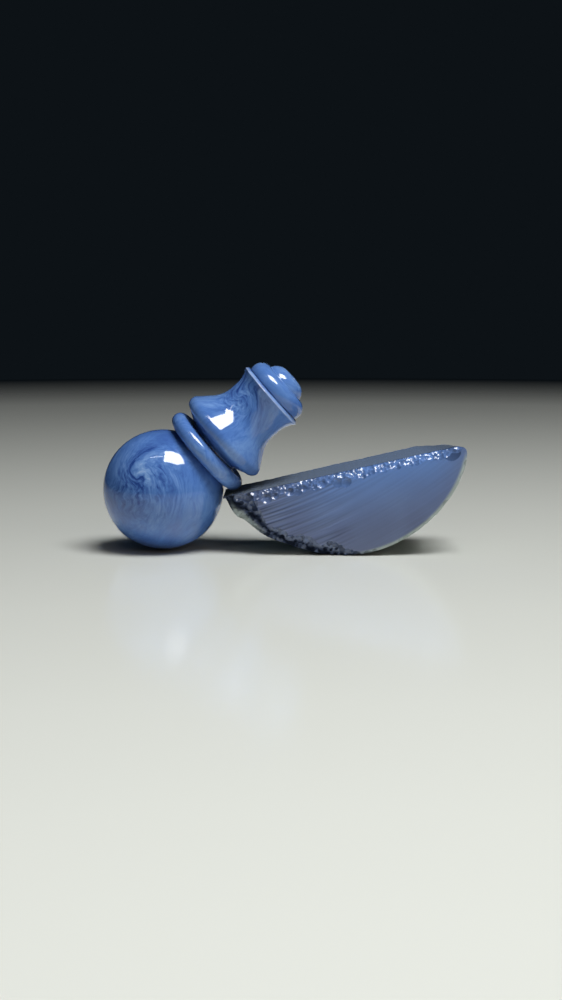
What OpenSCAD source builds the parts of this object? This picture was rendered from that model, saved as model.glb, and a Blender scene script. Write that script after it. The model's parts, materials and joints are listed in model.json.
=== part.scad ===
// Turned bead-and-finial set in marbled cast resin, leaning on a sawn half-round offcut.
// Lengths are in millimetres and angles in degrees.
// +Z is up, +X runs from the bead to the offcut, and everything rests on Z = 0.
// The origin is under the middle of the set.
// Places along the stack's axis are measured from the bead's centre.

/* [Bead] */
// Diameter of the round bead
bead_d = 20; // [16:0.5:28]
// Angle of the stack's axis above the table
lean = 41; // [36:1:55]
// Diameter of the string hole through the whole stack
string_d = 2; // [1:0.1:2.4]

/* [Core tube] */
// Outside diameter of the tube that keeps the turned pieces in line
tube_d = 3; // [2.8:0.1:4.2]
// Length of the tube held inside the bead
tube_in_bead = 8; // [4:0.5:12]
// Length of the tube held inside the cap
tube_in_cap = 3; // [1:0.1:4.4]

/* [Collar] */
// Diameter of the collar over its rounded rim
collar_d = 16.2; // [15:0.1:20]
// Thickness of the collar, and so the diameter of its rounded rim
collar_t = 2.7; // [2.4:0.1:4]
// Depth of the hollow under the collar that sits on the bead
dish_depth = 1.8; // [0.6:0.1:2]

/* [Finial] */
// Height of the finial from its foot to its rim
finial_h = 13; // [12.4:0.1:18]
// Diameter of the foot that stands on the collar
foot_d = 10; // [7:0.1:12]
// Height of the foot's upright edge
foot_h = 0.2; // [0.1:0.05:1]
// Reach of the flared lip beyond the collar's rim, on each side
lip_over = 0.2; // [0:0.05:1]
// Rounding of the lip's edge
lip_round = 1.35; // [0.5:0.05:1.6]
// Diameter of the waist, at its narrowest
waist_d = 10.6; // [9.4:0.1:11.6]
// Slope of the flare from the axis
flare_tilt = 38; // [30:0.5:50]
// Radius of the hollow curve below the waist
cove_r = 5; // [3:0.1:9]
// Length of the straight neck at the waist
neck_h = 1.25; // [0.2:0.05:3]
// Radius of the hollow curve above the waist
neck_r = 4.5; // [3.8:0.1:6]
// Diameter of the sharp rim at the top
rim_d = 12.5; // [11.8:0.1:14.4]
// Height of the upright wall under the rim's bevel
rim_wall = 0.1; // [0.05:0.05:0.6]
// Height of the bevel on the rim
rim_bevel_h = 0.4; // [0.1:0.05:0.8]
// Width of the bevel on the rim
rim_bevel_w = 0.4; // [0.2:0.05:0.8]

/* [Cap] */
// Diameter over the cap's bulge
cap_d = 11.3; // [10.2:0.1:11.5]
// Radius of the bulge
cap_round = 1.95; // [1.35:0.05:2.2]
// Height of the bulge, up to the ledge round the crown
ledge_h = 2.6; // [2.2:0.1:2.8]
// Width of the flat ledge round the crown
ledge_w = 0.1; // [0.05:0.05:1]
// Radius of the crown's domed side
crown_round = 2.4; // [2:0.05:2.6]
// Height of the cap above the rim
cap_h = 4.3; // [3.8:0.1:6]
// Diameter of the spigot under the cap
spigot_d = 7; // [5.4:0.1:7.6]
// Length of the spigot under the cap
spigot_h = 2; // [1:0.1:3]

/* [Offcut] */
// Thickness of the offcut between its two sawn faces
offcut_t = 15; // [8:0.5:19]
// Slope of the offcut's flat top
top_tilt = 11.5; // [6:0.5:15]
// Radius of the curved edge on the right of the resting line
right_r = 19.3; // [17:0.1:26]
// Radius of the curved edge on the left of the resting line
left_r = 25.7; // [22:0.1:32]
// Rounding of the curved edge against the sawn faces
edge_round = 0.8; // [0.3:0.1:1.5]
// Amount broken off the right-hand tip
end_trim = 0.15; // [0.05:0.05:1]

/* [Chips] */
// Spacing of the small chips along the top front edge
chip_pitch = 2.3; // [1.8:0.1:4]
// Radius of the hollow of a small chip
chip_r = 1.5; // [0.8:0.1:2.5]
// Depth of a small chip at the edge
chip_depth = 0.5; // [0.2:0.05:0.8]
// Spacing of the large flakes along the lower left front edge
flake_pitch = 2.6; // [2:0.1:5]
// Radius of the hollow of a large flake
flake_r = 2.4; // [1.5:0.1:4]
// Depth of a large flake at the edge
flake_depth = 0.9; // [0.5:0.05:1.4]
// Radius of the hollow broken out of the top right front corner
corner_r = 3; // [2:0.1:4]
// Depth of the hollow broken out of the top right front corner
corner_depth = 1.3; // [0.6:0.1:2]

/* [Clearances] */
// Radial room of the tube in its bores
bore_fit = 0.05; // [0.02:0.01:0.1]
// Radial room of the cap's spigot in its socket
spigot_fit = 0.05; // [0.02:0.01:0.1]
// Room between the bead and the collar's hollow
seat_gap = 0.15; // [0.05:0.05:0.5]
// Room along the axis between stacked flat faces and at the ends of the tube and spigot
stack_gap = 0.1; // [0.05:0.05:0.3]
// Room between the collar's rim and the offcut's top
rest_gap = 0.15; // [0.05:0.05:0.5]
// Room between the bead and the offcut's left tip
tip_gap = 0.35; // [0.2:0.05:1]

/* [Hidden] */
$fn = 96;

bead_r = bead_d / 2;
string_r = string_d / 2;
tube_r = tube_d / 2;
bore_r = tube_r + bore_fit;
big = 4 * (left_r + right_r + bead_d);
// How far the finial's straight sides run into the curves that they meet
tuck = 0.002;

// Places of the pieces along the axis
collar_s = bead_r + seat_gap - dish_depth;
foot_s = collar_s + collar_t + stack_gap;
cap_s = foot_s + finial_h + stack_gap;
tube_start_s = bead_r - tube_in_bead;
tube_end_s = cap_s - spigot_h + tube_in_cap;

// The finial's curves: a hollow curve leads down from the rim to the straight neck, another leads from
// the neck to the straight flare, and the flare is tangent to the lip's edge
rim_r = rim_d / 2;
neck_x = waist_d / 2 + neck_r;
cove_x = waist_d / 2 + cove_r;
waist_z = finial_h - rim_bevel_h - rim_wall - sqrt(pow(neck_r, 2) - pow(neck_x - rim_r, 2));
cove_z = waist_z - neck_h;
lip_x = collar_d / 2 + lip_over - lip_round;
flare_out = [cos(flare_tilt), sin(flare_tilt)];
flare_fall = (lip_x - cove_x + (lip_round + cove_r) * flare_out[0]) / tan(flare_tilt);
lip_z = cove_z - flare_fall - (lip_round + cove_r) * flare_out[1];
cove_touch = [cove_x, cove_z] - (cove_r - tuck) * flare_out;
lip_touch = [lip_x, lip_z] + (lip_round - tuck) * flare_out;
foot_edge = [foot_d / 2, foot_h];
foot_touch = tangent_point(foot_edge, [lip_x, lip_z], lip_round - tuck);
socket_r = spigot_d / 2 + spigot_fit;

// The cap's curves
bulge_x = cap_d / 2 - cap_round;
bulge_z = ledge_h - cap_round;
crown_z = cap_h - crown_round;
crown_x = bulge_x - ledge_w - sqrt(pow(crown_round, 2) - pow(ledge_h - crown_z, 2));

// Centre of the collar's rounded rim where it is lowest, in the upright plane through the axis,
// measured from the bead's resting point
collar_mid_s = collar_s + collar_t / 2;
collar_ring_r = (collar_d - collar_t) / 2;
rim_low = [
    collar_mid_s * cos(lean) + collar_ring_r * sin(lean),
    bead_r + collar_mid_s * sin(lean) - collar_ring_r * cos(lean)
];

// The offcut in the same plane: its top passes just under the collar's rim, its left tip stops
// just short of the bead, and both curved edges touch the table at the heel
top_along = [cos(top_tilt), sin(top_tilt)];
top_up = [-sin(top_tilt), cos(top_tilt)];
top_point = rim_low - (collar_t / 2 + rest_gap) * top_up;
left_tip = on_top_line([0, bead_r], bead_r + tip_gap);
heel_u = left_tip[0] + sqrt(pow(left_r, 2) - pow(left_r - left_tip[1], 2));
right_tip = on_top_line([heel_u, right_r], right_r);
top_length = norm(right_tip - left_tip);
reach = right_tip[0] - end_trim;

// The origin is under the middle of the whole set
bead_x = (bead_r - reach) / 2;

// Directions towards the front, up from the offcut's top and along it to the right
front = [0, -1, 0];
up_from_top = [top_up[0], 0, top_up[1]];
along_top = [top_along[0], 0, top_along[1]];

// Directions in which the chips of the top edge and of its right corner are broken out
chip_way = front + 0.6 * up_from_top;
corner_way = chip_way + 0.5 * along_top;
// How much of the outward direction a flake of the lower edge takes besides the front
flake_tilt = 0.5;
// Shares by which the place, the radius and the depth of the chips and flakes vary in a row
place_scatter = 0.25;
size_scatter = 0.3;
depth_scatter = 0.35;

// Point where a line from p touches the circle of radius r at c, with the circle on its left
function tangent_point(p, c, r) =
    let (
        away = norm(c - p),
        angle = atan2(c[1] - p[1], c[0] - p[0]) - asin(r / away)
    )
    p + sqrt(away * away - r * r) * [cos(angle), sin(angle)];

// Right-hand point where the offcut's top line crosses the circle of radius r at c
function on_top_line(c, r) =
    let (over = (c - top_point) * top_up)
    c - over * top_up + sqrt(r * r - over * over) * top_along;

// A value that varies from one chip to the next by a share of itself, in steps of a large angle
function scattered(value, share, i, angle) = value * (1 + share * sin(angle * i));

// A point of the upright plane through the axis, set at a depth y
function placed(point, y) = [bead_x + point[0], y, point[1]];

// Puts its children on the leaning axis, at a distance s from the bead's centre
module on_axis(s) {
    translate([bead_x, 0, bead_r])
        rotate([0, 90 - lean, 0])
            translate([0, 0, s])
                children();
}

// A straight round hole or rod along the axis
module rod(r, start, end) {
    translate([0, 0, start])
        cylinder(r = r, h = end - start);
}

// A hollow of the given radius and depth, broken out of an edge point in a direction
module bite(point, direction, r, depth) {
    translate(point + (r - depth) * direction / norm(direction))
        sphere(r = r);
}

// The round bead, drilled for the string from below and for the tube from above
module bead() {
    color([0.29, 0.42, 0.64])
        on_axis(0)
            difference() {
                sphere(r = bead_r);
                rod(string_r, -bead_d, bead_d);
                rod(bore_r, tube_start_s - stack_gap, bead_d);
            }
}

// The collar, a disc with a round rim whose underside is hollowed to sit on the bead
module collar() {
    color([0.31, 0.44, 0.66])
        on_axis(0)
            rotate_extrude()
                difference() {
                    union() {
                        translate([collar_ring_r, collar_mid_s])
                            circle(d = collar_t);
                        translate([bore_r, collar_s])
                            square([collar_ring_r - bore_r, collar_t]);
                    }
                    circle(r = bead_r + seat_gap);
                }
}

// Half section of the finial, from its foot past the flared lip and the waist to the rim
module finial_section() {
    polygon([
        [0, 0], [foot_edge[0], 0], foot_edge, foot_touch, [lip_x, lip_z], [0, lip_z]
    ]);
    translate([lip_x, lip_z])
        circle(r = lip_round);
    difference() {
        polygon([
            [0, lip_z], [lip_x, lip_z], lip_touch, cove_touch, [cove_touch[0], cove_z], [0, cove_z]
        ]);
        translate([cove_x, cove_z])
            circle(r = cove_r);
    }
    translate([0, cove_z])
        square([waist_d / 2, neck_h]);
    difference() {
        polygon([
            [0, waist_z], [rim_r, waist_z], [rim_r, finial_h - rim_bevel_h],
            [rim_r - rim_bevel_w, finial_h], [0, finial_h]
        ]);
        translate([neck_x, waist_z])
            circle(r = neck_r);
    }
}

// The finial, bored for the tube and socketed for the cap
module finial() {
    color([0.33, 0.47, 0.70])
        on_axis(foot_s)
            difference() {
                rotate_extrude()
                    finial_section();
                rod(bore_r, -finial_h, 2 * finial_h);
                rod(socket_r, finial_h - spigot_h - stack_gap, 2 * finial_h);
            }
}

// Half section of the cap above the rim: a round bulge with a stepped crown on it
module cap_section() {
    intersection() {
        union() {
            translate([bulge_x, bulge_z])
                circle(r = cap_round);
            square([bulge_x, ledge_h]);
        }
        square([cap_d, ledge_h]);
    }
    intersection() {
        union() {
            translate([crown_x, crown_z])
                circle(r = crown_round);
            square([crown_x, cap_h]);
        }
        translate([0, bulge_z])
            square([cap_d, cap_h]);
    }
}

// The cap, with a spigot for the finial's socket, a pocket for the tube and the string's way out
module finial_cap() {
    color([0.35, 0.50, 0.73])
        on_axis(cap_s)
            difference() {
                union() {
                    rotate_extrude()
                        cap_section();
                    rod(spigot_d / 2, -spigot_h, bulge_z);
                }
                rod(bore_r, -finial_h, tube_in_cap - spigot_h + stack_gap);
                rod(string_r, -finial_h, 2 * cap_h);
            }
}

// The tube inside the turned pieces, which the string runs through
module core_tube() {
    color([0.78, 0.62, 0.30])
        on_axis(0)
            difference() {
                rod(tube_r, tube_start_s, tube_end_s);
                rod(string_r, tube_start_s - bead_d, tube_end_s + bead_d);
            }
}

// A round billet of radius r that lies on its curved edge over the heel
module billet(r) {
    inner = offcut_t - 2 * edge_round;
    translate([bead_x + heel_u, 0, r])
        rotate([90, 0, 0])
            rotate_extrude($fn = 2 * $fn) {
                translate([0, -offcut_t / 2])
                    square([r - edge_round, offcut_t]);
                translate([0, -inner / 2])
                    square([r, inner]);
                for (side = [-1, 1])
                    translate([r - edge_round, side * inner / 2])
                        circle(r = edge_round, $fn = 48);
            }
}

// Everything within the reach of the given x limits
module between(x_from, x_to) {
    intersection() {
        children();
        translate([x_from, -big / 2, -big / 2])
            cube([x_to - x_from, big, big]);
    }
}

// The row of small chips along the top front edge
module top_chips() {
    count = floor(top_length / chip_pitch) - 1;
    for (i = [1 : count]) {
        along = (i + place_scatter * sin(137 * i)) * chip_pitch;
        bite(
            placed(left_tip + along * top_along, -offcut_t / 2),
            chip_way,
            scattered(chip_r, size_scatter, i, 97),
            scattered(chip_depth, depth_scatter, i, 61)
        );
    }
}

// The large flakes along the lower left front edge, from near the tip down to the heel
module heel_flakes() {
    tip_angle = asin((heel_u - left_tip[0]) / left_r);
    step = asin(flake_pitch / left_r);
    count = floor(tip_angle / step) - 1;
    for (i = [1 : count]) {
        angle = tip_angle - (i + place_scatter * sin(151 * i)) * step;
        outward = [-sin(angle), -cos(angle)];
        bite(
            placed([heel_u, left_r] + left_r * outward, -offcut_t / 2),
            front + flake_tilt * [outward[0], 0, outward[1]],
            scattered(flake_r, size_scatter, i, 83),
            scattered(flake_depth, depth_scatter, i, 113)
        );
    }
}

// The half-round offcut: two curved edges that meet at the heel, a flat sawn top and broken edges
module offcut() {
    color([0.33, 0.40, 0.54])
        difference() {
            union() {
                between(-big, bead_x + heel_u)
                    billet(left_r);
                between(bead_x + heel_u - edge_round, bead_x + reach)
                    billet(right_r);
            }
            translate(placed(top_point, 0))
                rotate([0, -top_tilt, 0])
                    translate([-big / 2, -big / 2, 0])
                        cube(big);
            top_chips();
            heel_flakes();
            bite(placed(right_tip, -offcut_t / 2), corner_way, corner_r, corner_depth);
        }
}

bead();
collar();
finial();
finial_cap();
core_tube();
offcut();
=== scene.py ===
"""Marbled bead-and-finial set leaning on a sawn offcut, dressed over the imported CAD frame."""

import json
import math
import random
from types import SimpleNamespace
from typing import NamedTuple

import bmesh
import bpy
import numpy as np
from bpy.props import FloatProperty, FloatVectorProperty, IntProperty, PointerProperty
from mathutils import Matrix, Vector, noise


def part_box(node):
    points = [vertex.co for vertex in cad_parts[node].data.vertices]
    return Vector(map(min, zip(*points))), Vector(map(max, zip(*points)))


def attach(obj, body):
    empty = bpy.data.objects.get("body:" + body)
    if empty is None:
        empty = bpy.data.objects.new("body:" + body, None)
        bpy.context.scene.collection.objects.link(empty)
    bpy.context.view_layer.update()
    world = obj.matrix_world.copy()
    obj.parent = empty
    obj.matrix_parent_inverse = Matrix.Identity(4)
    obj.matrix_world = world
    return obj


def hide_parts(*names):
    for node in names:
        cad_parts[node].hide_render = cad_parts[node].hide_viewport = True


bl_info = {
    "name": "Marbled Bead and Finial Set",
    "version": (1, 0, 0),
    "blender": (4, 5, 0),
    "location": "View3D > Sidebar > Bead Set",
    "description": "Builds a turned bead, collar and finial in marbled resin, and the offcut they lean on",
    "category": "Add Mesh",
}

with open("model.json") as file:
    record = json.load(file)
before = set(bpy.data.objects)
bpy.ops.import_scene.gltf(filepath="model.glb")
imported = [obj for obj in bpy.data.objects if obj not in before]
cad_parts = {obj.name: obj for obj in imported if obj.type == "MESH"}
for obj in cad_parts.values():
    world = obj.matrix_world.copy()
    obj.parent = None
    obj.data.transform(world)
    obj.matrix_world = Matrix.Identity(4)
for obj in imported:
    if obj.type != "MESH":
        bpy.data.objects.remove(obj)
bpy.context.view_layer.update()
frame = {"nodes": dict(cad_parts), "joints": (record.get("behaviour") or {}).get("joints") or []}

# One millimetre in Blender's metres
MM = 0.001

# The stack's leaning axis, from the bead's centre upwards
spin = next(joint for joint in frame["joints"] if joint["name"] == "collar_spin")
axis = Vector(spin["axis"]).normalized()
bead_centre = Vector(spin["pos_m"])
lean_angle = math.atan2(axis.x, axis.z)
lean = Matrix.Rotation(lean_angle, 4, "Y")

# Turns millimetres along and around the axis into the frame's metres
stack_place = Matrix.Translation(bead_centre) @ lean @ Matrix.Scale(MM, 4)

# Turns millimetres in the frame's own directions into metres
frame_place = Matrix.Scale(MM, 4)


def measured(node):
    """The largest radius of a turned CAD node and its two ends along the axis, in millimetres."""
    back = stack_place.inverted()
    points = [back @ vertex.co for vertex in frame["nodes"][node].data.vertices]
    heights = [point.z for point in points]
    return max(math.hypot(point.x, point.y) for point in points), min(heights), max(heights)


bead_r, _, _ = measured("bead")
collar_r, collar_low, collar_top = measured("collar")
lip_r, foot_s, rim_s = measured("finial")
cap_r, spigot_s, crown_s = measured("finial_cap")

offcut_low, offcut_high = (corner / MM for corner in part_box("offcut"))
offcut_points = [vertex.co / MM for vertex in frame["nodes"]["offcut"].data.vertices]
offcut_tip = min(offcut_points, key=lambda point: point.x)


def linear(code):
    """Linear colour for an sRGB hex code."""
    shares = [int(code[i:i + 2], 16) / 255 for i in (1, 3, 5)]
    return [s / 12.92 if s <= 0.04045 else ((s + 0.055) / 1.055) ** 2.4 for s in shares]


def size(name, description, millimetres):
    """A length that the user may change, shown in Blender's own units."""
    return FloatProperty(name=name, description=description, default=millimetres * MM, min=0, unit="LENGTH")


def angle(name, description, degrees):
    """An angle that the user may change, shown in Blender's own units."""
    return FloatProperty(name=name, description=description, default=math.radians(degrees), subtype="ANGLE")


def number(name, description, value):
    """A plain number that the user may change."""
    return FloatProperty(name=name, description=description, default=value)


def whole(name, description, value, least):
    """A count that the user may change."""
    return IntProperty(name=name, description=description, default=value, min=least)


def tint(name, description, code):
    """A colour that the user may change."""
    return FloatVectorProperty(
        name=name, description=description, default=linear(code), min=0, max=1, size=3, subtype="COLOR"
    )


class BeadSetTurning(bpy.types.PropertyGroup):
    """Sizes of the turned pieces"""

    string_r: size("String Hole", "Radius of the string's hole", 1.0)
    bore_r: size("Tube Bore", "Radius of the bores that the tube passes", 1.55)
    tube_seat: size("Tube Seat", "Height of the tube's lower end above the bead's centre", 1.9)
    seat_gap: size("Seat Gap", "Room between the bead and the collar's hollow", 0.15)
    foot_r: size("Foot", "Radius of the finial's foot", 5.0)
    foot_h: size("Foot Edge", "Height of the foot's upright edge", 0.2)
    lip_round: size("Lip Rounding", "Radius of the flared lip's edge", 1.35)
    waist_r: size("Waist", "Radius of the finial's waist", 5.3)
    cove_r: size("Cove", "Radius of the hollow curve below the waist", 5.0)
    neck_h: size("Neck Length", "Length of the straight neck at the waist", 1.25)
    neck_r: size("Neck", "Radius of the hollow curve above the waist", 4.5)
    flare_tilt: angle("Flare", "Slope of the flare from the axis", 38)
    rim_r: size("Rim", "Radius of the finial's sharp rim", 6.25)
    rim_wall: size("Rim Wall", "Height of the wall under the rim's bevel", 0.1)
    rim_bevel_h: size("Rim Bevel Height", "Height of the rim's bevel", 0.4)
    rim_bevel_w: size("Rim Bevel Width", "Width of the rim's bevel", 0.4)
    socket_r: size("Socket", "Radius of the cap's socket in the rim", 3.55)
    socket_h: size("Socket Depth", "Depth of the cap's socket", 2.1)
    cap_round: size("Cap Bulge", "Radius of the cap's round bulge", 1.95)
    ledge_h: size("Ledge", "Height of the ledge round the crown", 2.6)
    ledge_w: size("Ledge Width", "Width of the flat ledge round the crown", 0.1)
    crown_round: size("Crown Rounding", "Radius of the crown's domed side", 2.4)
    spigot_r: size("Spigot", "Radius of the cap's spigot", 3.5)
    spigot_h: size("Spigot Length", "Length of the cap's spigot", 2.0)
    pocket_h: size("Tube Pocket", "Depth of the tube's pocket above the cap's seat", 1.1)
    edge: size("Worn Edge", "Rounding that polishing leaves on every sharp edge", 0.07)
    steps: whole("Steps", "Steps of a turned surface round the axis", 168, 24)


class BeadSetOffcut(bpy.types.PropertyGroup):
    """Sizes of the offcut"""

    left_r: size("Left Curve", "Radius of the curved edge left of the heel", 25.7)
    right_r: size("Right Curve", "Radius of the curved edge right of the heel", 19.3)
    edge_round: size("Edge Rounding", "Rounding of the curved edge", 0.8)
    top_tilt: angle("Top Slope", "Slope of the flat top", 11.5)
    right_draw: number("Right Draw", "Share by which the right half is drawn in beside the heel", 0.11)
    right_swell: number("Right Swell", "Share by which the right half stands out at its end", 0.026)
    top_rise: number("Top Rise", "Slope that the top gains past its rest for the collar", 0.022)
    blunt: size("Right Corner", "Rounding of the right corner", 1.4)
    saw_pitch: size("Saw Pitch", "Spacing of the saw's marks", 1.0)
    saw_depth: size("Saw Depth", "Depth of the saw's marks", 0.035)
    rind: size("Rind", "Thickness of the pale skin on the curved edge", 0.8)
    columns: whole("Columns", "Steps of a sawn face along its length", 320, 20)
    rows: whole("Rows", "Steps of a sawn face up its height", 130, 10)


class BeadSetColours(bpy.types.PropertyGroup):
    """Colours of the resin, the tube and the stage"""

    deep: tint("Deep Blue", "Darkest streaks of the resin", "#27458A")
    middle: tint("Middle Blue", "Body colour of the resin", "#4F76B8")
    light: tint("Light Blue", "Lighter streaks of the resin", "#7398CE")
    milk: tint("Milk", "Milky streaks of the resin", "#A9BEDA")
    # Painted light: the highlight and the light showing through along the finial's thin rim
    pale: tint("Thin Edge", "Thin resin at the finial's rim, where light shows through", "#C4D4F0")
    sawn: tint("Sawn Face", "Body colour of the sawn faces", "#58607E")
    sawn_light: tint("Sawn Cloud", "Lighter cloud in the sawn faces", "#5F6B8A")
    sawn_blue: tint("Sawn Glow", "Bluer glow under the offcut's top edge", "#5F87CA")
    chip: tint("Chip", "Glassy chips and flakes", "#475574")
    rind: tint("Rind", "Pale skin of the billet", "#9FABA8")
    brass: tint("Brass", "Colour of the drawn tube", "#C9A25A")
    floor: tint("Floor", "Colour of the table", "#DBDED8")
    dark: tint("Backdrop", "Colour behind the table", "#0D1216")
    warm: tint("Fill Light", "Colour of the fill light", "#FFEACB")


class Streaks(NamedTuple):
    """How the poured resin's streaks run on a piece."""

    # Radians by which they rise, and by which they turn further at the eye that they curl round
    tilt: float
    twist: float
    # Millimetres over which the curl fades, and by which the pattern is moved to differ from other pieces
    reach: float
    seed: float
    # How much stronger they are at the eye, and how much lighter the piece is than the middle blue
    contrast: float = 0.0
    lift: float = 0.0
    # The eye, in millimetres from the bead's centre along the axis, then in the frame's directions
    eye_up: float = 0
    eye_off: tuple = (0, 0, 0)


BEAD_STREAKS = Streaks(
    tilt=1.1, twist=2.4, reach=4.6, seed=0.0, contrast=1.2, lift=-0.02, eye_off=(-2.8, -9.0, 2.8)
)
COLLAR_STREAKS = Streaks(tilt=-0.85, twist=0.0, reach=6.0, seed=3.0, contrast=1.2, lift=0.03, eye_up=14)
FINIAL_STREAKS = Streaks(
    tilt=0.6, twist=2.4, reach=4.5, seed=7.0, contrast=0.9, lift=0.03, eye_up=20, eye_off=(-2.2, -4.0, 2.8)
)
CAP_STREAKS = Streaks(tilt=-0.85, twist=0.6, reach=3.0, seed=13.0, contrast=0.8, lift=0.05, eye_up=30)
OFFCUT_STREAKS = Streaks(tilt=0.35, twist=0.0, reach=8.0, seed=11.0)

# Waves per millimetre of the resin's clouds
CLOUD_WAVES = 0.17

# The two swirls that bend the streaks: waves per millimetre, push in millimetres, and detail
SWIRLS = ((0.16, 5.0, 1.0), (0.6, 1.2, 2.0))

# Fine and broad streaks: waves per millimetre across them, and detail
STREAK_WAVES = ((1.7, 3.0), (0.38, 2.0))

# Share of those waves that is left along the streaks, how ragged the streaks are, and the broad ones' share
STREAK_DRAW = 0.1
STREAK_ROUGHNESS = 0.58
BROAD_SHARE = 0.4

# Strength of the streaks far from the eye: clouds over which it grows, and its least and largest value
CALM = ((0.35, 0.65), (0.1, 0.35))

# What a piece's rear adds: millimetres behind the eye over which it grows, and its least and largest value
REAR = ((7.0, 14.0), (0.0, 0.7))

# Levels between the streaks: clouds over which they grow, and the least and largest level
LEVEL_CLOUDS = (0.3, 0.7)
LEVELS = (0.42, 0.58)

# How fast the streaks' strength falls with the square of the distance from the eye, in reaches
KNOT_FADE = 0.8

# How strongly the streaks, the painted light on the thin rim, the glassy breaks and the tone marks change the
# colour
STREAK_GAIN = 1.7
RIM_LIGHT_SHARE = 0.4
GLASSY_SHARE = 0.7
TONE_GAIN = 0.55

# The tones over which dark marks lose their shine
DULL_TONES = (-1.0, -0.3)

# The resin's index of refraction, and its roughness where it is polished or freshly broken, and where sawn
RESIN_IOR = 1.6
POLISHED = 0.06
SAWN = 0.34

# Unevenness of polished and sawn resin: waves per millimetre, detail, strength, and depth in millimetres
RIPPLE = (0.35, 1.0, 0.04, 0.2)
PORES = (2.2, 3.0, 0.25, 0.05)

# Waves per millimetre of the tube's draw lines, across and along the tube, and the tube's roughness on them
BRASS_WAVES = (4, 4, 0.1)
BRASS_ROUGHNESS = (0.18, 0.38)

# Where the table's far edge starts and ends its fade, as shares of its radius
TABLE_FADE = (0.62, 0.98)

# What the offcut's finish reads from its mesh: glassy breaks, cast skin, light or dark marks with painted
# shade and highlight, inner light
MARKS = ("chip", "rind", "tone", "glow")


def add(tree, kind, inputs=None, **settings):
    """Adds a node with its settings, and sets or links its inputs."""
    node = tree.nodes.new(kind)
    for key, value in settings.items():
        setattr(node, key, value)
    for key, value in (inputs or {}).items():
        if isinstance(value, bpy.types.NodeSocket):
            tree.links.new(value, node.inputs[key])
        else:
            node.inputs[key].default_value = value
    return node


def maths(tree, operation, *values):
    """The result of a math node."""
    return add(tree, "ShaderNodeMath", dict(enumerate(values)), operation=operation).outputs[0]


def vector_maths(tree, operation, *values):
    """The result of a vector math node."""
    return add(tree, "ShaderNodeVectorMath", dict(enumerate(values)), operation=operation).outputs[0]


def scale(tree, vector, factor):
    """A vector times a factor."""
    return add(tree, "ShaderNodeVectorMath", {0: vector, "Scale": factor}, operation="SCALE").outputs[0]


def distance(tree, vector):
    """The length of a vector."""
    return add(tree, "ShaderNodeVectorMath", {0: vector}, operation="LENGTH").outputs["Value"]


def object_place(tree):
    """Where a point lies on its piece, in metres."""
    return add(tree, "ShaderNodeTexCoord").outputs["Object"]


def remap(tree, value, from_span, to_span):
    """A value moved from one span to another, and held at its ends."""
    return add(tree, "ShaderNodeMapRange", {
        "Value": value, "From Min": from_span[0], "From Max": from_span[1],
        "To Min": to_span[0], "To Max": to_span[1],
    }).outputs["Result"]


def grain(tree, vector, waves, detail, roughness=0.5, output="Fac"):
    """A noise texture with so many waves for each unit of its vector."""
    return add(tree, "ShaderNodeTexNoise", {
        "Vector": vector, "Scale": waves, "Detail": detail, "Roughness": roughness
    }).outputs[output]


def stored(tree, key):
    """A value that the mesh stores."""
    return add(tree, "ShaderNodeAttribute", attribute_name=key).outputs["Fac"]


def mix(tree, factor, first, second, blend_type="MIX"):
    """A mix of two colours."""
    inputs = {"Factor": factor, 6: first, 7: second}
    return add(tree, "ShaderNodeMix", inputs, data_type="RGBA", blend_type=blend_type).outputs[2]


def uneven(tree, waves, detail, strength, depth):
    """Normals of a surface that is a little uneven."""
    height = grain(tree, object_place(tree), waves / MM, detail)
    return add(tree, "ShaderNodeBump", {
        "Height": height, "Strength": strength, "Distance": depth * MM
    }).outputs["Normal"]


def new_material(name):
    """An empty node material, and its tree."""
    material = bpy.data.materials.new(name)
    material.use_nodes = True
    material.node_tree.nodes.clear()
    return material, material.node_tree


def coat(material, inputs, kind="ShaderNodeBsdfPrincipled"):
    """Gives a material its shader."""
    shader = add(material.node_tree, kind, inputs)
    add(material.node_tree, "ShaderNodeOutputMaterial", {"Surface": shader.outputs[0]})
    return material


def opaque(colour):
    """A colour with full alpha, as node sockets take it."""
    return (*colour, 1.0)


def ramp(tree, factor, stops):
    """A colour ramp through (place, colour) stops."""
    node = add(tree, "ShaderNodeValToRGB", {"Fac": factor})
    elements = node.color_ramp.elements
    while len(elements) > 1:
        elements.remove(elements[-1])
    elements[0].position = stops[0][0]
    elements[0].color = opaque(stops[0][1])
    for stop, colour in stops[1:]:
        elements.new(stop).color = opaque(colour)
    return node.outputs["Color"]


def curl(tree, run):
    """Places in millimetres from a piece's eye, their distance from it, and the places curled round it."""
    eye = bead_centre + axis * run.eye_up * MM + Vector(run.eye_off) * MM
    local = scale(tree, vector_maths(tree, "SUBTRACT", object_place(tree), eye), 1 / MM)
    away = distance(tree, local)
    near = maths(tree, "EXPONENT", maths(tree, "MULTIPLY", away, -1 / run.reach))
    turn = maths(tree, "MULTIPLY_ADD", near, run.twist, run.tilt)
    turned = add(
        tree, "ShaderNodeVectorRotate", {"Vector": local, "Axis": (0, 1, 0), "Angle": turn},
        rotation_type="AXIS_ANGLE",
    ).outputs["Vector"]
    curled = vector_maths(tree, "ADD", turned, (run.seed, -run.seed, 2 * run.seed))
    return local, away, curled


def clouds_in(tree, curled):
    """Soft clouds in the resin."""
    return grain(tree, curled, CLOUD_WAVES, 1.0)


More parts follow.
